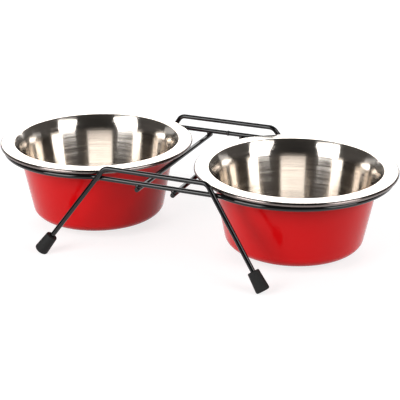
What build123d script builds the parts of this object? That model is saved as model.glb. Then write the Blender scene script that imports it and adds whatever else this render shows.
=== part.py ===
from build123d import *

import os
from math import asin, cos, degrees, radians, sin, sqrt

# Double pet bowl: two flanged steel bowls that hang by their rolled rims in a welded wire stand.
# Millimetres. X runs along the row of bowls, Y from front to rear, Z up from the ground.
# The origin is on the ground, half way between the two bowls.

# Bowls: sheet steel, drawn deep, with a flared neck, a flat flange and a rolled rim
rim_diameter = 165.0
rim_gap = 16.0
bowl_height = 65.5
sheet_thickness = 0.7
bead_diameter = 3.2
curl_angle = 285.0
flange_width = 11.3
lip_radius = 1.0
neck_height = 14.1
neck_flare_radius = 39.0
wall_taper = 10.9
base_corner_radius = 9.0
coat_thickness = 0.2

# Stand: bent round wire, welded where the wires cross
wire_diameter = 4.0
ground_clearance = 6.63
ring_inset = 0.9
bowl_outset = 2.2
waist_depth = 7.0
waist_bend_radius = 13.0
leg_inset = 2.5
bar_rise = 9.7
bar_bend_radius = 7.0
frame_tilt = 11.7
leg_splay = 35.1
cross_wire_spacing = 31.0
cross_wire_overhang = 1.5

# Welds: nuggets in the crevices between crossing wires, and the flash round the ring's closing joint
weld_gap = 0.2
weld_radius = 2.45
flash_length = 2.4
flash_height = 0.35
flash_offset = 2.7

# Feet: rubber caps pushed over the leg ends, worn flat where they meet the ground
foot_length = 17.0
foot_top_diameter = 9.5
foot_base_diameter = 11.6
foot_base_rounding = 1.6
foot_top_rounding = 0.9
foot_bore_depth = 13.0
foot_bore_clearance = 0.05
foot_flat_depth = 0.5

# Running clearance between a rim and the ring that carries it
seat_clearance = 0.3

# Radii and places that follow from the sizes above
wire_radius = wire_diameter / 2
bead_radius = bead_diameter / 2
bead_centre_radius = rim_diameter / 2 - bead_radius
lip_centre_radius = rim_diameter / 2 - flange_width
bowl_offset = (rim_diameter + rim_gap) / 2
foot_base_radius = foot_base_diameter / 2
foot_top_radius = foot_top_diameter / 2

# The ring wire runs under the rolled rims, and draws in at the waist between them. Each bowl sits a little
# outward of the middle of the ring's round end, so its rim hides the wire there.
ring_radius = bead_centre_radius - ring_inset
ring_offset = bowl_offset - bowl_outset
waist_half_width = ring_radius - waist_depth
rim_height = ground_clearance + bowl_height
seat_distance = bead_radius + wire_radius + seat_clearance
ring_height = rim_height - bead_radius - seat_distance

os.makedirs("parts", exist_ok=True)


def finish(part, name):
    """Label a piece and write it to its own file."""
    part.label = name
    export_step(part, f"parts/{name}.step")


# Bowl profile: depths are measured down from the top of the flange
base_level = -(bowl_height - sheet_thickness)
base_inner_radius = base_corner_radius - sheet_thickness
taper_sine = sin(radians(wall_taper))
lip_sine = (neck_height + neck_flare_radius * taper_sine - lip_radius) / (neck_flare_radius - lip_radius)
lip_angle = degrees(asin(lip_sine))
wall_drop = -base_level - neck_height - base_inner_radius * (1 - taper_sine)
wall_length = wall_drop / cos(radians(wall_taper))


def body_line(neck_top, neck_direction, depth):
    """Draw neck, wall, base corner and base of the sheet, at a depth behind its inner face."""
    neck = JernArc(neck_top, neck_direction, neck_flare_radius - depth, lip_angle - wall_taper)
    wall = PolarLine(neck @ 1, wall_length, direction=neck % 1)
    corner = JernArc(wall @ 1, wall % 1, base_inner_radius + depth, wall_taper - 90)
    return Line(corner @ 1, (0, base_level - depth))


def sheet_line(depth):
    """Draw one face of the sheet, from the free edge of the curl to the middle of the base."""
    curl = JernArc((bead_centre_radius, -depth), (1, 0), bead_radius - depth, -curl_angle)
    flange = Line((bead_centre_radius, -depth), (lip_centre_radius, -depth))
    lip = JernArc(flange @ 1, (-1, 0), lip_radius - depth, 90 - lip_angle)
    base = body_line(lip @ 1, lip % 1, depth)
    return curl @ 1, base @ 1


def coat_line(depth):
    """Draw one face of the coat, from just under the flange to the middle of the base."""
    fall = (-sin(radians(lip_angle)), -cos(radians(lip_angle)))
    reach = lip_radius - depth
    neck_top = (lip_centre_radius + fall[1] * reach, -lip_radius - fall[0] * reach)
    base = body_line(neck_top, fall, depth)
    return neck_top, base @ 1


for side, direction in (("left", -1), ("right", 1)):
    centre = (direction * bowl_offset, 0, rim_height)
    profile_plane = Plane(origin=centre, x_dir=(1, 0, 0), z_dir=(0, -1, 0))
    bowl_axis = Axis(centre, (0, 0, 1))

    # Bowl: one sheet, from the curled edge over the flange and down the wall to the base
    with BuildPart() as bowl:
        with BuildSketch(profile_plane):
            with BuildLine():
                inner_curl_end, inner_base = sheet_line(0)
                outer_curl_end, outer_base = sheet_line(sheet_thickness)
                Line(inner_curl_end, outer_curl_end)
                Line(inner_base, outer_base)
            make_face()
        revolve(axis=bowl_axis)
    finish(bowl.part, f"{side}_bowl")

    # Coat: the coloured enamel on the outside of the bowl, below the flange
    with BuildPart() as coat:
        with BuildSketch(profile_plane):
            with BuildLine():
                inner_top, inner_base = coat_line(sheet_thickness)
                outer_top, outer_base = coat_line(sheet_thickness + coat_thickness)
                Line(inner_top, outer_top)
                Line(inner_base, outer_base)
            make_face()
        revolve(axis=bowl_axis)
    finish(coat.part, f"{side}_bowl_coat")

# Ring wire: one closed loop that rounds both bowls and runs straight between them
bend_reach = ring_radius + waist_bend_radius
bend_turn = degrees(asin(sqrt(bend_reach**2 - (waist_half_width + waist_bend_radius) ** 2) / bend_reach))
waist_half_length = ring_offset - bend_reach * sin(radians(bend_turn))


def round_end(start, heading):
    """Draw the ring's way round one bowl: a bend out, a long arc and a bend back in."""
    bend_out = JernArc(start, heading, waist_bend_radius, -bend_turn)
    long_arc = JernArc(bend_out @ 1, bend_out % 1, ring_radius, 180 + 2 * bend_turn)
    return JernArc(long_arc @ 1, long_arc % 1, waist_bend_radius, -bend_turn)


with BuildPart() as ring_wire:
    with BuildLine(Plane.XY.offset(ring_height)) as ring_path:
        front = Line((-waist_half_length, -waist_half_width), (waist_half_length, -waist_half_width))
        right_end = round_end(front @ 1, front % 1)
        rear = Line(right_end @ 1, (-waist_half_length, waist_half_width))
        round_end(rear @ 1, rear % 1)
    with BuildSketch(Plane(origin=front @ 0.5, z_dir=front % 0.5)):
        Circle(wire_radius)
    sweep(path=ring_path.wire())
finish(ring_wire.part, "ring_wire")

# Leg frames: a flat bent wire each, a top bar between two splayed legs, leaning outwards
tilt_sine = sin(radians(frame_tilt))
tilt_cosine = cos(radians(frame_tilt))
weld_distance = wire_diameter + weld_gap
bar_height = ring_height + bar_rise
bar_offset = waist_half_width + (weld_distance - bar_rise * tilt_sine) / tilt_cosine
leg_fall = cos(radians(leg_splay))
leg_drop = leg_fall * tilt_cosine
leg_lean = sqrt(1 - leg_drop**2)

# The foot's base centre stands so high that its rounded edge sinks by the worn flat
edge_circle = foot_base_radius - foot_base_rounding
foot_base_height = edge_circle * leg_lean + foot_base_rounding * (1 - leg_drop) - foot_flat_depth
leg_length = (bar_height - foot_base_height) / leg_drop
wire_end_length = leg_length - (foot_length - foot_bore_depth)

# The legs cross the ring just inside its bends, which sets how long the top bar is
weld_run = (bar_rise - weld_distance * tilt_sine) / leg_drop
bar_half_length = waist_half_length - leg_inset - weld_run * sin(radians(leg_splay))


def leg_direction(across, along):
    """Unit vector down a leg: across is -1 for the front frame, along is -1 for the left leg."""
    return Vector(along * sin(radians(leg_splay)), across * leg_fall * tilt_sine, -leg_drop)


def bar_corner(across, along):
    """Point where the straight lines of a top bar and a leg meet."""
    return Vector(along * bar_half_length, across * bar_offset, bar_height)


leg_wires = {}
for frame, across in (("front", -1), ("rear", 1)):
    with BuildPart() as leg_wire:
        with BuildLine() as leg_path:
            left_corner, right_corner = (bar_corner(across, along) for along in (-1, 1))
            left_end = left_corner + leg_direction(across, -1) * wire_end_length
            right_end = right_corner + leg_direction(across, 1) * wire_end_length
            FilletPolyline(left_end, left_corner, right_corner, right_end, radius=bar_bend_radius)
        with BuildSketch(Plane(origin=leg_path.line @ 0, z_dir=leg_path.line % 0)):
            Circle(wire_radius)
        sweep()
    finish(leg_wire.part, f"{frame}_leg_wire")
    leg_wires[frame] = leg_wire.part

    # Feet: tapered caps on the leg ends, bored for the wire and flat underneath
    for side, along in (("left", -1), ("right", 1)):
        down = leg_direction(across, along)
        foot_base = bar_corner(across, along) + down * leg_length
        leg_axis = Axis(foot_base, down)
        sideways = down.cross(Vector(0, 0, 1)).normalized()
        foot_plane = Plane(origin=foot_base, x_dir=sideways, z_dir=down.cross(sideways))
        with BuildPart() as foot:
            with BuildSketch(foot_plane):
                with BuildLine():
                    Polyline(
                        (0, 0),
                        (foot_base_radius, 0),
                        (foot_top_radius, foot_length),
                        (wire_radius + foot_bore_clearance, foot_length),
                        (wire_radius + foot_bore_clearance, foot_length - foot_bore_depth),
                        (0, foot_length - foot_bore_depth),
                        close=True,
                    )
                make_face()
            revolve(axis=leg_axis)
            base_edges = foot.edges().filter_by(GeomType.CIRCLE).group_by(leg_axis)[-1]
            fillet(base_edges, foot_base_rounding)
            top_edges = foot.edges().filter_by(GeomType.CIRCLE).group_by(leg_axis)[0]
            fillet(top_edges.sort_by(SortBy.RADIUS)[-1], foot_top_rounding)
            split(bisect_by=Plane.XY, keep=Keep.TOP)
        finish(foot.part, f"{frame}_{side}_foot")

# Cross wires: straight rods under the ring, cut off just past it at both ends
cross_height = ring_height - weld_distance
cross_half_length = waist_half_width + wire_radius + cross_wire_overhang
cross_wires = {}
for side, along in (("left", -1), ("right", 1)):
    cross_offset = along * cross_wire_spacing / 2
    with BuildPart() as cross_wire:
        with BuildSketch(Plane(origin=(cross_offset, 0, cross_height), z_dir=(0, 1, 0))):
            Circle(wire_radius)
        extrude(amount=cross_half_length, both=True)
    finish(cross_wire.part, f"{side}_cross_wire")
    cross_wires[side] = cross_wire.part

# Welds: a nugget of filler in each crevice, shaped by the two wires that it joins
to_ring = Vector(0, tilt_cosine, -tilt_sine) * (weld_distance / 2)
leg_weld_point = bar_corner(-1, 1) + leg_direction(-1, 1) * weld_run + to_ring
with BuildPart() as leg_welds:
    with Locations(leg_weld_point):
        Sphere(weld_radius)
    add([ring_wire.part, leg_wires["front"]], mode=Mode.SUBTRACT)
    mirror(about=Plane.YZ)
    mirror(about=Plane.XZ)
finish(leg_welds.part, "leg_welds")

cross_weld_point = (cross_wire_spacing / 2, -waist_half_width, ring_height - weld_distance / 2)
with BuildPart() as cross_wire_welds:
    with Locations(cross_weld_point):
        Sphere(weld_radius)
    add([ring_wire.part, cross_wires["right"]], mode=Mode.SUBTRACT)
    mirror(about=Plane.YZ)
    mirror(about=Plane.XZ)
finish(cross_wire_welds.part, "cross_wire_welds")

# Closing weld: the low bulge of flash round the ring wire where its two ends meet, at the rear
with BuildPart() as ring_closing_weld:
    with BuildSketch(Plane(origin=(flash_offset, waist_half_width, ring_height), z_dir=(0, 0, 1))):
        with BuildLine():
            ThreePointArc(
                (-flash_length / 2, wire_radius),
                (0, wire_radius + flash_height),
                (flash_length / 2, wire_radius),
            )
            Line((flash_length / 2, wire_radius), (-flash_length / 2, wire_radius))
        make_face()
    revolve(axis=Axis((0, waist_half_width, ring_height), (1, 0, 0)))
finish(ring_closing_weld.part, "ring_closing_weld")
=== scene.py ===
import bpy
import numpy as np
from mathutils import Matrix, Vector


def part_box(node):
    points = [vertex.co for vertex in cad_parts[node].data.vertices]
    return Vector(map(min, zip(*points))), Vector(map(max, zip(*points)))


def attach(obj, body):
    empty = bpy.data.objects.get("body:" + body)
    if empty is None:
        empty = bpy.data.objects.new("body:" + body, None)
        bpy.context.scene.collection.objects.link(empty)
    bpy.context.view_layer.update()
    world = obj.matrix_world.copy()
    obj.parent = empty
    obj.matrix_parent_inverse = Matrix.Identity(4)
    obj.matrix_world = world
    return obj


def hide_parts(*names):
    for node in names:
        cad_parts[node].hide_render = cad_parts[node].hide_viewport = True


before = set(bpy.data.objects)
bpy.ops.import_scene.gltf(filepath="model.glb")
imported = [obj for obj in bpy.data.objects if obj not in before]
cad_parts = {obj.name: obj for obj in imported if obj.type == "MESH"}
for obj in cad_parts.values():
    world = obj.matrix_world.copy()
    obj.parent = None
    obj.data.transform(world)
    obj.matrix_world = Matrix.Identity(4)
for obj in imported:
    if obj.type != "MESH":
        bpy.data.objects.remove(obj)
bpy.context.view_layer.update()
mm = 0.001

# Ring wire: one round steel wire, bent to a closed loop round both bowls and drawn in at the waist between
# them. Its ends are butt welded at the rear, and the whole stand is then coated gloss black.
ring_low, ring_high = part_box("ring_wire")
bowl_low, bowl_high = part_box("right_bowl")
wire_radius = (ring_high.z - ring_low.z) / 2
ring_height = (ring_high.z + ring_low.z) / 2
bowl_offset = (bowl_high.x + bowl_low.x) / 2
ring_radius = ring_high.y - wire_radius
ring_offset = ring_high.x - wire_radius - ring_radius
waist_depth = 7 * mm
waist_half_width = ring_radius - waist_depth
waist_bend_radius = 13 * mm
wire_step = 2.5 * mm
wire_bend_step = np.radians(5)
wire_sides = 28
sharp_edge = np.radians(45)


def bent_line(start, heading, runs, step, bend_step):
    """Follow straight runs and round bends that join without a corner, in a plane.

    A run is its length and the angle by which it turns left on the way. At share t of the run the line has
    moved along a chord of length times t times sinc(turn t / 2), in the direction heading + turn t / 2.
    """
    points = [np.array([start], float)]
    headings = [np.array([heading], float)]
    for length, turn in runs:
        count = 1 + int(max(length / step, abs(turn) / bend_step))
        share = np.arange(1, count + 1) / count
        chord = length * share * np.sinc(turn * share / (2 * np.pi))
        direction = headings[-1][-1] + turn * share / 2
        way = np.column_stack([np.cos(direction), np.sin(direction)]) * chord[:, None]
        headings.append(headings[-1][-1] + turn * share)
        points.append(points[-1][-1] + way)
    return np.concatenate(points), np.concatenate(headings)


def wire_rows(centres, tangents, level, radii):
    """Carry a circle along a flat line: centre + radius (cos a level + sin a (tangent x level)).

    The level is the unit normal of the plane that the line lies in, and a goes once round the wire.
    """
    around = 2 * np.pi * np.arange(wire_sides) / wire_sides
    side = np.cross(tangents, level)
    spokes = np.cos(around)[:, None] * level + np.sin(around)[:, None] * side[:, None, :]
    return centres[:, None, :] + radii[:, None, None] * spokes


def skin(name, rows, joined=False):
    """Cover rows of points with faces, each row closed on itself.

    A joined skin also runs from its last row back to its first. Otherwise the first and last row are drawn
    together to one point. The attribute lie holds cos a, sin a and the way along the rows, in millimetres.
    """
    count, columns = rows.shape[:2]
    middle = rows.mean(axis=1)
    step = np.linalg.norm(np.diff(rows, axis=0), axis=2).mean(axis=1)
    way = np.concatenate([[0], np.cumsum(step)])
    around = 2 * np.pi * np.arange(columns) / columns
    lie = np.empty((count, columns, 3))
    lie[:, :, 0] = np.cos(around)
    lie[:, :, 1] = np.sin(around)
    lie[:, :, 2] = way[:, None] / mm
    body = slice(0, count) if joined else slice(1, count - 1)
    points = rows[body].reshape(-1, 3)
    lies = lie[body].reshape(-1, 3)
    index = np.arange(len(points)).reshape(-1, columns)
    across = np.roll(index, -1, axis=1)
    if joined:
        upper, upper_across = np.roll(index, -1, axis=0), np.roll(across, -1, axis=0)
        lower, lower_across = index, across
    else:
        lower, lower_across = index[:-1], across[:-1]
        upper, upper_across = index[1:], across[1:]
    faces = np.stack([lower, lower_across, upper_across, upper], axis=2).reshape(-1, 4).tolist()
    if not joined:
        first, last = len(points), len(points) + 1
        poles = np.stack([middle[0], middle[-1]])
        points = np.concatenate([points, poles])
        lies = np.concatenate([lies, [[0, 0, lie[0, 0, 2]], [0, 0, lie[-1, 0, 2]]]])
        tip = np.full(columns, first)
        faces += np.column_stack([tip, across[0], index[0]]).tolist()
        tip = np.full(columns, last)
        faces += np.column_stack([tip, index[-1], across[-1]]).tolist()
    mesh = bpy.data.meshes.new(name)
    mesh.from_pydata(points.tolist(), [], faces)
    mesh.attributes.new("lie", "FLOAT_VECTOR", "POINT").data.foreach_set("vector", lies.ravel())
    mesh.shade_smooth()
    mesh.set_sharp_from_angle(angle=sharp_edge)
    piece = bpy.data.objects.new(name, mesh)
    bpy.context.scene.collection.objects.link(piece)
    return piece


def start_finish(name, colour, metal, gloss_loss):
    """Start a material from its colour, metal share and roughness, and return what its nodes need."""
    material = bpy.data.materials.new(name)
    material.use_nodes = True
    nodes, links = material.node_tree.nodes, material.node_tree.links
    shader = nodes["Principled BSDF"]
    shader.inputs["Base Color"].default_value = (*colour, 1)
    shader.inputs["Metallic"].default_value = metal
    shader.inputs["Roughness"].default_value = gloss_loss
    return material, nodes, links, shader


def grain(nodes, links, source, scale, detail):
    """Add noise of a given number of bumps per metre, read at the source coordinates."""
    noise = nodes.new("ShaderNodeTexNoise")
    noise.inputs["Scale"].default_value = scale
    noise.inputs["Detail"].default_value = detail
    links.new(source, noise.inputs["Vector"])
    return noise.outputs["Fac"]


def spread(nodes, links, source, low, high, start=0.3, end=0.7):
    """Turn a source between start and end, the usual reach of noise, into a value from low to high."""
    reach = nodes.new("ShaderNodeMapRange")
    reach.inputs["From Min"].default_value = start
    reach.inputs["From Max"].default_value = end
    reach.inputs["To Min"].default_value = low
    reach.inputs["To Max"].default_value = high
    links.new(source, reach.inputs["Value"])
    return reach.outputs["Result"]


def tint(nodes, links, source, low, high):
    """Blend from a low to a high colour by noise between 0.3 and 0.7."""
    ramp = nodes.new("ShaderNodeValToRGB")
    ramp.color_ramp.elements[0].position = 0.3
    ramp.color_ramp.elements[0].color = (*low, 1)
    ramp.color_ramp.elements[1].position = 0.7
    ramp.color_ramp.elements[1].color = (*high, 1)
    links.new(source, ramp.inputs["Fac"])
    return ramp.outputs["Color"]


def relief(nodes, links, source, depth, shader):
    """Raise the surface by a depth in metres where the source value is 1."""
    bump = nodes.new("ShaderNodeBump")
    bump.inputs["Distance"].default_value = depth
    links.new(source, bump.inputs["Height"])
    links.new(bump.outputs["Normal"], shader.inputs["Normal"])


def black_coat():
    """Gloss black dip coat on wire: nearly black, with a faint orange peel and uneven shine."""
    material, nodes, links, shader = start_finish("black_coat", (0.0035, 0.0035, 0.004), 0, 0.15)
    shader.inputs["Specular IOR Level"].default_value = 0.42
    place = nodes.new("ShaderNodeTexCoord").outputs["Object"]
    blotches = grain(nodes, links, place, 90, 3)
    peel = grain(nodes, links, place, 700, 2)
    links.new(spread(nodes, links, blotches, 0.03, 0.08), shader.inputs["Roughness"])
    links.new(tint(nodes, links, blotches, (0.0025, 0.0025, 0.003), (0.0045, 0.0045, 0.005)),
              shader.inputs["Base Color"])
    relief(nodes, links, peel, 0.006 * mm, shader)
    return material


wire_finish = black_coat()


def stand_piece(piece, finish, slot, *stands_for):
    """Give a piece of the stand its finish, hang it on the stand's body and hide the model parts it stands
    for.
    """
    piece.data.materials.append(finish)
    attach(piece, "stand")
    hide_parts(*stands_for)


bend_reach = ring_radius + waist_bend_radius
bend_turn = np.arccos((waist_half_width + waist_bend_radius) / bend_reach)
waist_half_length = ring_offset - bend_reach * np.sin(bend_turn)
round_turn = np.pi + 2 * bend_turn
waist_bend = (waist_bend_radius * bend_turn, -bend_turn)
ring_half = [(2 * waist_half_length, 0), waist_bend, (ring_radius * round_turn, round_turn), waist_bend]
ring_line, ring_headings = bent_line(
    (-waist_half_length, -waist_half_width), 0, ring_half + ring_half, wire_step, wire_bend_step
)
ring_centres = np.column_stack([ring_line, np.full(len(ring_line), ring_height)])[:-1]
ring_tangents = np.column_stack([np.cos(ring_headings), np.sin(ring_headings), 0 * ring_headings])[:-1]
upright = np.array([0.0, 0, 1])
ring_rows = wire_rows(ring_centres, ring_tangents, upright, np.full(len(ring_centres), wire_radius))
stand_piece(skin("ring_of_wire", ring_rows, joined=True), wire_finish, "black_wire", "ring_wire")

# Leg frames: one wire each, bent twice to a top bar between two splayed legs. The flat frame leans so that
# its feet stand wide, and the bar is the carrying handle. The legs are welded to the outside of the ring.
leg_splay = np.radians(35.1)
frame_tilt = np.radians(11.7)
bar_bend_radius = 7 * mm
leg_drop = np.cos(leg_splay) * np.cos(frame_tilt)
leg_lean = np.sqrt(1 - leg_drop**2)
cut_rounding = 0.5 * mm
cut_rows = 5


def rounded_ends(way):
    """Radius of a cut wire along its length: full, with a small quarter round at each end, then 0."""
    reach = np.minimum(way, way[-1] - way).clip(0, cut_rounding)
    return wire_radius - cut_rounding + np.sqrt(cut_rounding**2 - (cut_rounding - reach) ** 2)


def cut_wire(name, line, headings, origin, along, level):
    """Carry a wire with rounded, closed ends along a flat line, placed by its origin and two directions."""
    upward = np.cross(level, along)
    end_steps = cut_rounding * (1 - np.cos(np.linspace(0, np.pi / 2, cut_rows)))
    way = np.concatenate([[0], np.cumsum(np.linalg.norm(np.diff(line, axis=0), axis=1))])
    inner = way[(way > cut_rounding) & (way < way[-1] - cut_rounding)]
    stops = np.concatenate([end_steps, inner, way[-1] - end_steps[::-1]])
    flat = np.column_stack([np.interp(stops, way, line[:, 0]), np.interp(stops, way, line[:, 1])])
    turned = np.interp(stops, way, headings)
    centres = origin + flat[:, :1] * along + flat[:, 1:] * upward
    tangents = np.cos(turned)[:, None] * along + np.sin(turned)[:, None] * upward
    radii = rounded_ends(stops)
    rows = wire_rows(centres, tangents, level, radii)
    return skin(name, np.concatenate([centres[:1, None].repeat(wire_sides, 1), rows,
                                      centres[-1:, None].repeat(wire_sides, 1)]))


rightward = np.array([1.0, 0, 0])
leg_ends = {}
for place, across in (("front", -1), ("rear", 1)):
    leg_low, leg_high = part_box(f"{place}_leg_wire")
    bar_height = leg_high.z - wire_radius
    bar_offset = leg_high.y - wire_radius if across < 0 else leg_low.y + wire_radius
    leg_run = (bar_height - leg_low.z - wire_radius * leg_lean) / leg_drop
    bar_length = 2 * (leg_high.x - wire_radius * np.cos(leg_splay) - leg_run * np.sin(leg_splay))
    frame_up = np.array([0, -across * np.sin(frame_tilt), np.cos(frame_tilt)])
    bar_turn = np.pi / 2 - leg_splay
    corner_cut = bar_bend_radius * np.tan(bar_turn / 2)
    leg_straight = (leg_run - corner_cut, 0)
    bar_bend = (bar_bend_radius * bar_turn, -bar_turn)
    bar_straight = (bar_length - 2 * corner_cut, 0)
    frame_runs = [leg_straight, bar_bend, bar_straight, bar_bend, leg_straight]
    leg_start = (-bar_length / 2 - leg_run * np.sin(leg_splay), -leg_run * np.cos(leg_splay))
    leg_line, leg_headings = bent_line(leg_start, bar_turn, frame_runs, wire_step, wire_bend_step)
    bar_middle = np.array([0, bar_offset, bar_height])
    leg_frame = cut_wire(f"{place}_leg_frame", leg_line, leg_headings, bar_middle, rightward,
                         np.cross(rightward, frame_up))
    stand_piece(leg_frame, wire_finish, "black_wire", f"{place}_leg_wire")
    for side, along in (("left", -1), ("right", 1)):
        down = along * np.sin(leg_splay) * rightward - np.cos(leg_splay) * frame_up
        leg_ends[place, side] = (bar_middle + along * bar_length / 2 * rightward + leg_run * down, down)

# Cross wires: two straight rods under the ring, between the bowls, cut off square just past it. They keep
# the waist in shape and are welded to the ring from below.
rearward = np.array([0.0, 1, 0])
for side in ("left", "right"):
    rod_low, rod_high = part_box(f"{side}_cross_wire")
    rod_start = np.array([(rod_low.x + rod_high.x) / 2, rod_low.y, (rod_low.z + rod_high.z) / 2])
    rod_line, rod_headings = bent_line((0, 0), 0, [(rod_high.y - rod_low.y, 0)], wire_step, wire_bend_step)
    rod = cut_wire(f"{side}_cross_rod", rod_line, rod_headings, rod_start, rearward, upright)
    stand_piece(rod, wire_finish, "black_wire", f"{side}_cross_wire")

# Welds: nuggets of filler in the crevices where wires cross, and the low flash round the ring's closing
# joint. They are coated with the wires, so the solids keep their shape and take the wires' finish.
for weld in ("leg_welds", "cross_wire_welds", "ring_closing_weld"):
    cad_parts[weld].data.materials.clear()
    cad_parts[weld].data.materials.append(wire_finish)

# Feet: moulded rubber caps, slightly tapered, pushed over the ends of the legs and worn flat where they
# stand on the ground. Of the bore only its mouth is made, because the wire fills it.
foot_length = 17 * mm
foot_bore_depth = 13 * mm
foot_base_radius = 5.8 * mm
foot_top_radius = 4.75 * mm
foot_base_rounding = 1.6 * mm
foot_top_rounding = 0.9 * mm
foot_lip = 0.05 * mm
foot_mouth_depth = 1.5 * mm
foot_sides = 48
foot_step = 0.7 * mm
foot_bend_step = np.radians(12)


def matt_rubber():
    """Matt black rubber: grey-black with a fine moulded grain and dusty patches."""
    material, nodes, links, shader = start_finish("matt_rubber", (0.012, 0.012, 0.012), 0, 0.75)
    shader.inputs["Specular IOR Level"].default_value = 0.3
    place = nodes.new("ShaderNodeTexCoord").outputs["Object"]
    dust = grain(nodes, links, place, 160, 4)
    pores = grain(nodes, links, place, 2200, 3)
    links.new(spread(nodes, links, dust, 0.62, 0.85), shader.inputs["Roughness"])
    links.new(tint(nodes, links, dust, (0.008, 0.008, 0.008), (0.018, 0.0175, 0.017)),
              shader.inputs["Base Color"])
    relief(nodes, links, pores, 0.12 * mm, shader)
    return material


def turned_rows(profile, centre, axis, first, sides):
    """Turn a profile of radius and height about an axis: centre + height axis + radius spoke.

    The spokes go once round the axis, clockwise as seen from its tip, from the direction called first.
    """
    around = -2 * np.pi * np.arange(sides) / sides
    spokes = np.cos(around)[:, None] * first + np.sin(around)[:, None] * np.cross(axis, first)
    heights = profile[:, 1, None, None] * axis
    return centre + heights + profile[:, 0, None, None] * spokes


foot_finish = matt_rubber()
foot_taper = np.arctan((foot_base_radius - foot_top_radius) / foot_length)
base_turn = np.pi / 2 + foot_taper
top_turn = np.pi / 2 - foot_taper
base_cut = foot_base_rounding * np.tan(base_turn / 2)
top_cut = foot_top_rounding * np.tan(top_turn / 2)
side_run = foot_length / np.cos(foot_taper) - base_cut - top_cut
top_run = foot_top_radius - top_cut - wire_radius - foot_lip
foot_runs = [
    (foot_base_radius - base_cut, 0),
    (foot_base_rounding * base_turn, base_turn),
    (side_run, 0),
    (foot_top_rounding * top_turn, top_turn),
    (top_run, 0),
    (foot_mouth_depth, np.pi / 2),
]
foot_line = bent_line((0, 0), 0, foot_runs, foot_step, foot_bend_step)[0]
foot_profile = np.concatenate([foot_line, [[0, foot_line[-1, 1]]]])
for (place, side), (wire_end, down) in leg_ends.items():
    base_middle = wire_end + (foot_length - foot_bore_depth) * down
    sideways = np.cross(down, upright) / np.linalg.norm(np.cross(down, upright))
    foot_rows = turned_rows(foot_profile[::-1], base_middle, -down, sideways, foot_sides)
    foot_rows[:, :, 2] = foot_rows[:, :, 2].clip(0)
    foot = skin(f"{place}_{side}_foot_cap", foot_rows)
    stand_piece(foot, foot_finish, "foot_rubber", f"{place}_{side}_foot")

# Bowls: stainless sheet, deep drawn in one piece, with a flared neck, a flat flange and a rim that is
# rolled under. The inside is polished on the lathe, which leaves fine marks round the bowl.
rim_height = bowl_high.z
bowl_height = bowl_high.z - bowl_low.z
rim_radius = (bowl_high.x - bowl_low.x) / 2
sheet = 0.7 * mm
bead_radius = 1.6 * mm
curl_turn = np.radians(285)
flange_width = 11.3 * mm
lip_centre_radius = rim_radius - flange_width
lip_radius = 1 * mm
neck_height = 14.1 * mm
neck_flare_radius = 39 * mm
wall_taper = np.radians(10.9)
outer_corner_radius = 9 * mm
base_corner_radius = outer_corner_radius - sheet
bowl_sides = 256
profile_step = 1.2 * mm
profile_bend_step = np.radians(5)

flare_rise = neck_height + neck_flare_radius * np.sin(wall_taper) - lip_radius
lip_angle = np.arcsin(flare_rise / (neck_flare_radius - lip_radius))
wall_drop = bowl_height - sheet - neck_height - base_corner_radius * (1 - np.sin(wall_taper))
wall_length = wall_drop / np.cos(wall_taper)
neck_turn = lip_angle - wall_taper
corner_turn = np.pi / 2 - wall_taper
lip_turn = np.pi / 2 - lip_angle
neck_in = (neck_flare_radius - lip_radius) * np.cos(lip_angle) - neck_flare_radius * np.cos(wall_taper)
wall_in = wall_length * np.sin(wall_taper)
base_radius = lip_centre_radius + neck_in - wall_in - base_corner_radius * np.cos(wall_taper)
flange_run = rim_radius - bead_radius - lip_centre_radius
rim_way = (base_radius + base_corner_radius * corner_turn + wall_length + neck_flare_radius * neck_turn
           + lip_radius * lip_turn + flange_run)


def sheet_line(depth, with_rim):
    """One face of the sheet, from the middle of the base to the neck, and on to the curled edge of the rim.

    It lies at a depth behind the inner face, so the bends that open inwards grow and the others shrink.
    """
    runs = [
        (base_radius, 0),
        ((base_corner_radius + depth) * corner_turn, corner_turn),
        (wall_length, 0),
        ((neck_flare_radius - depth) * neck_turn, -neck_turn),
    ]
    if with_rim:
        runs += [
            ((lip_radius - depth) * lip_turn, -lip_turn),
            (flange_run, 0),
            ((bead_radius - depth) * curl_turn, -curl_turn),
        ]
    return bent_line((0, sheet - bowl_height - depth), 0, runs, profile_step, profile_bend_step)[0]


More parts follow.
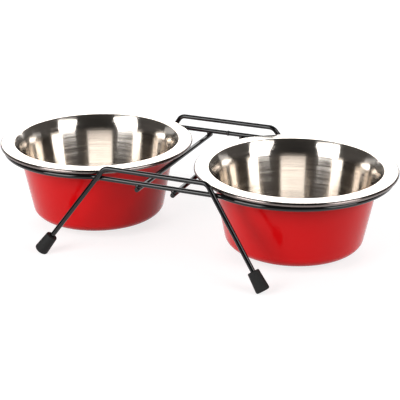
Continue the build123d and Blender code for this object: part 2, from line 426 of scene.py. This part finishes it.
def polished_steel():
    """Lathe-polished stainless steel: bright, slightly warm, with fine marks that run round the bowl.

    The marks spread what the steel mirrors up and down the bowl. Past the flange the rolled edge and what
    is under it are duller, and their colour is painted darker as painted shade for the dim things they
    mirror.
    """
    material, nodes, links, shader = start_finish("polished_steel", (0.68, 0.632, 0.58), 1, 0.1)
    shader.inputs["Anisotropic"].default_value = 0.9
    shader.inputs["Anisotropic Rotation"].default_value = 0.25
    round_way = nodes.new("ShaderNodeTangent")
    round_way.direction_type = "RADIAL"
    round_way.axis = "Z"
    links.new(round_way.outputs["Tangent"], shader.inputs["Tangent"])
    lie = nodes.new("ShaderNodeAttribute")
    lie.attribute_name = "lie"
    # The marks change quickly along the sheet, whose way is in millimetres, and slowly round the bowl
    stretch = nodes.new("ShaderNodeMapping")
    stretch.inputs["Scale"].default_value = (0.8, 0.8, 0.85)
    links.new(lie.outputs["Vector"], stretch.inputs["Vector"])
    marks = grain(nodes, links, stretch.outputs["Vector"], 1, 4)
    place = nodes.new("ShaderNodeTexCoord").outputs["Object"]
    clouds = grain(nodes, links, place, 35, 3)
    lie_parts = nodes.new("ShaderNodeSeparateXYZ")
    links.new(lie.outputs["Vector"], lie_parts.inputs["Vector"])
    way = lie_parts.outputs["Z"]
    past_flange = spread(nodes, links, way, 0, 1, rim_way / mm, rim_way / mm + 1)
    dulling = nodes.new("ShaderNodeMath")
    dulling.operation = "MULTIPLY_ADD"
    dulling.inputs[1].default_value = 0.1
    links.new(past_flange, dulling.inputs[0])
    links.new(spread(nodes, links, marks, 0.09, 0.19), dulling.inputs[2])
    links.new(dulling.outputs["Value"], shader.inputs["Roughness"])
    polish = tint(nodes, links, clouds, (0.66, 0.613, 0.562), (0.7, 0.651, 0.598))
    # Past the flange the colour blends to a dark brown-grey: painted shade on the rolled edge, not a duller
    # steel
    polish_and_edge_shade = nodes.new("ShaderNodeMix")
    polish_and_edge_shade.data_type = "RGBA"
    polish_and_edge_shade.inputs["B"].default_value = (0.22, 0.185, 0.175, 1)
    links.new(past_flange, polish_and_edge_shade.inputs["Factor"])
    links.new(polish, polish_and_edge_shade.inputs["A"])
    links.new(polish_and_edge_shade.outputs["Result"], shader.inputs["Base Color"])
    relief(nodes, links, marks, 0.006 * mm, shader)
    return material


steel_finish = polished_steel()
sheet_profile = np.concatenate([sheet_line(0, True), sheet_line(sheet, True)[::-1]])
for side, along in (("left", -1), ("right", 1)):
    bowl_top = np.array([along * bowl_offset, 0, rim_height])
    sheet_rows = turned_rows(sheet_profile, bowl_top, upright, rightward, bowl_sides)
    bowl = skin(f"{side}_bowl_sheet", sheet_rows)
    bowl.data.materials.append(steel_finish)
    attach(bowl, f"bowl_{side}")
    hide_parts(f"{side}_bowl")

# Enamel: the gloss red coat that is sprayed and baked on the outside of each bowl, from just under the
# flange to the base.
coat = 0.2 * mm
coat_gap = 0.02 * mm


def red_enamel():
    """Baked gloss red enamel: deep red, with a faint orange peel and a slightly uneven shine."""
    material, nodes, links, shader = start_finish("red_enamel", (0.74, 0.004, 0.006), 0, 0.16)
    shader.inputs["Specular IOR Level"].default_value = 0.17
    place = nodes.new("ShaderNodeTexCoord").outputs["Object"]
    clouds = grain(nodes, links, place, 25, 3)
    peel = grain(nodes, links, place, 450, 2)
    links.new(spread(nodes, links, clouds, 0.12, 0.2), shader.inputs["Roughness"])
    links.new(tint(nodes, links, clouds, (0.72, 0.003, 0.005), (0.76, 0.005, 0.007)),
              shader.inputs["Base Color"])
    relief(nodes, links, peel, 0.02 * mm, shader)
    return material


enamel_finish = red_enamel()
coat_inside = sheet_line(sheet + coat_gap, False)
coat_outside = sheet_line(sheet + coat, False)
coat_profile = np.concatenate([coat_inside, coat_outside[::-1]])
for side, along in (("left", -1), ("right", 1)):
    bowl_top = np.array([along * bowl_offset, 0, rim_height])
    coat_rows = turned_rows(coat_profile, bowl_top, upright, rightward, bowl_sides)
    enamel = skin(f"{side}_bowl_enamel", coat_rows)
    enamel.data.materials.append(enamel_finish)
    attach(enamel, f"bowl_{side}")
    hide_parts(f"{side}_bowl_coat")

# Floor: a wide sheet of pale paper that the stand stands on. It looks white to the camera and in the
# steel, and keeps a soft shadow.
floor_half = 4.0
floor_mesh = bpy.data.meshes.new("floor")
floor_corners = [(-floor_half, -floor_half, 0), (floor_half, -floor_half, 0),
                 (floor_half, floor_half, 0), (-floor_half, floor_half, 0)]
floor_mesh.from_pydata(floor_corners, [], [(0, 1, 2, 3)])
floor = bpy.data.objects.new("floor", floor_mesh)
bpy.context.scene.collection.objects.link(floor)
floor_grey = (0.35, 0.35, 0.35)
floor_paper, floor_nodes, floor_links, floor_shader = start_finish("floor_paper", floor_grey, 0, 0.9)


def seen_level(nodes, links, unseen, seen):
    """Give the seen level to camera, glossy and transmission rays, and the unseen one to all others."""
    path = nodes.new("ShaderNodeLightPath")
    sight = path.outputs["Is Camera Ray"]
    for kind in ("Is Glossy Ray", "Is Transmission Ray"):
        either = nodes.new("ShaderNodeMath")
        either.operation = "MAXIMUM"
        links.new(sight, either.inputs[0])
        links.new(path.outputs[kind], either.inputs[1])
        sight = either.outputs["Value"]
    level = nodes.new("ShaderNodeMapRange")
    level.inputs["To Min"].default_value = unseen
    level.inputs["To Max"].default_value = seen
    links.new(sight, level.inputs["Value"])
    return level.outputs["Result"]


# The lamps reach less far than the floor does, so its lift grows with the distance from the object
floor_shader.inputs["Emission Color"].default_value = (1, 1, 1, 1)
floor_distance = floor_nodes.new("ShaderNodeVectorMath")
floor_distance.operation = "LENGTH"
floor_place = floor_nodes.new("ShaderNodeTexCoord").outputs["Object"]
floor_links.new(floor_place, floor_distance.inputs[0])
floor_lift = floor_nodes.new("ShaderNodeMath")
floor_lift.operation = "MULTIPLY"
floor_near_lift, floor_far_lift = 0.76, 1
floor_near, floor_far = 0.5, 1.3
floor_glow = spread(floor_nodes, floor_links, floor_distance.outputs["Value"],
                    floor_near_lift, floor_far_lift, floor_near, floor_far)
floor_links.new(floor_glow, floor_lift.inputs[0])
floor_links.new(seen_level(floor_nodes, floor_links, 0, 1), floor_lift.inputs[1])
floor_links.new(floor_lift.outputs["Value"], floor_shader.inputs["Emission Strength"])
floor_mesh.materials.append(floor_paper)

# Studio: two soft boxes beside the camera, a bright panel behind the object and two low cards beside it.
# The dark shell round them, darkest at the front, is what the steel shows as its dark stripes.
studio_aim = np.array([0, 0, 0.04])
camera_turn = 23.4


def bearing(azimuth, elevation):
    """Direction at so many degrees to the right of the camera's side and above the floor."""
    turn, rise = np.radians(azimuth + camera_turn), np.radians(elevation)
    return np.array([np.sin(turn) * np.cos(rise), -np.cos(turn) * np.cos(rise), np.sin(rise)])


def soft_box(name, azimuth, elevation, distance, width, height, radiance):
    """Hang a rectangular lamp that faces the object, as bright as its radiance times its area."""
    lamp = bpy.data.lights.new(name, "AREA")
    lamp.shape = "RECTANGLE"
    lamp.size = width
    lamp.size_y = height
    lamp.energy = radiance * np.pi * width * height
    holder = bpy.data.objects.new(name, lamp)
    holder.location = studio_aim + distance * bearing(azimuth, elevation)
    holder.rotation_euler = Vector(bearing(azimuth, elevation)).to_track_quat("Z", "Y").to_euler()
    holder.visible_camera = False
    bpy.context.scene.collection.objects.link(holder)


soft_box("right_soft_box", azimuth=52, elevation=24.5, distance=1.0,
         width=0.5, height=0.6, radiance=5.2)
soft_box("left_soft_box", azimuth=-49.5, elevation=24.5, distance=1.0,
         width=0.56, height=0.6, radiance=7.4)
soft_box("back_panel", azimuth=180, elevation=27.5, distance=0.9,
         width=1.2, height=0.47, radiance=3.1)
soft_box("right_card", azimuth=113, elevation=6, distance=1.0,
         width=0.32, height=0.26, radiance=0.6)
soft_box("left_card", azimuth=-129, elevation=8, distance=1.0,
         width=0.42, height=0.3, radiance=0.5)

shell_radius = 1.6
shell_step = 5
shell_turns = np.radians(np.arange(0, 360, shell_step))
shell_rises = np.radians(np.arange(0, 91, shell_step))
rise_grid, turn_grid = np.meshgrid(shell_rises, shell_turns, indexing="ij")
shell_across = np.sin(turn_grid) * np.cos(rise_grid)
shell_along = -np.cos(turn_grid) * np.cos(rise_grid)
shell_points = shell_radius * np.stack([shell_across, shell_along, np.sin(rise_grid)], axis=2)
shell_index = np.arange(rise_grid.size).reshape(rise_grid.shape)
shell_next = np.roll(shell_index, -1, axis=1)
shell_corners = [shell_index[:-1], shell_next[:-1], shell_next[1:], shell_index[1:]]
shell_faces = np.stack(shell_corners, axis=2).reshape(-1, 4)
shell_mesh = bpy.data.meshes.new("studio_shell")
shell_mesh.from_pydata(shell_points.reshape(-1, 3).tolist(), [], shell_faces.tolist())
shell_grey = (0.05, 0.048, 0.046)
shell_paint, shell_nodes, shell_links, shell_shader = start_finish("shell_paint", shell_grey, 0, 0.9)
shell_shader.inputs["Emission Color"].default_value = (1, 0.93, 0.88, 1)
shell_place = shell_nodes.new("ShaderNodeTexCoord").outputs["Object"]
shell_front = shell_nodes.new("ShaderNodeVectorMath")
shell_front.operation = "DOT_PRODUCT"
shell_front.inputs[1].default_value = bearing(0, 0) / shell_radius
shell_links.new(shell_place, shell_front.inputs[0])
shell_side_glow, shell_front_glow = 0.065, 0.008
shell_glow = spread(shell_nodes, shell_links, shell_front.outputs["Value"],
                    shell_side_glow, shell_front_glow, 0, 0.9)
shell_links.new(shell_glow, shell_shader.inputs["Emission Strength"])
shell_mesh.materials.append(shell_paint)
shell = bpy.data.objects.new("studio_shell", shell_mesh)
shell.visible_camera = False
shell.visible_diffuse = False
shell.visible_shadow = False
bpy.context.scene.collection.objects.link(shell)

# Surroundings: white where the camera or a shiny surface looks at them, and dimmer as a light.
world = bpy.data.worlds.new("studio")
bpy.context.scene.world = world
world.use_nodes = True
world_nodes, world_links = world.node_tree.nodes, world.node_tree.links
world_nodes["Background"].inputs["Color"].default_value = (1, 1, 1, 1)
world_level = seen_level(world_nodes, world_links, 0.15, 1)
world_links.new(world_level, world_nodes["Background"].inputs["Strength"])

# Camera: at the photograph's place, a little above and to the right, with a long lens.
camera = bpy.data.cameras.new("camera")
camera.lens = 101.7
camera.sensor_width = 36
camera_holder = bpy.data.objects.new("camera", camera)
camera_eye = Vector((0.35547, -0.81915, 0.3818))
camera_aim = Vector((0.00534, 0.00228, 0.0287))
camera_holder.location = camera_eye
camera_holder.rotation_euler = (camera_aim - camera_eye).to_track_quat("-Z", "Y").to_euler()
bpy.context.scene.collection.objects.link(camera_holder)
bpy.context.scene.camera = camera_holder
bpy.context.scene.view_settings.view_transform = "Standard"
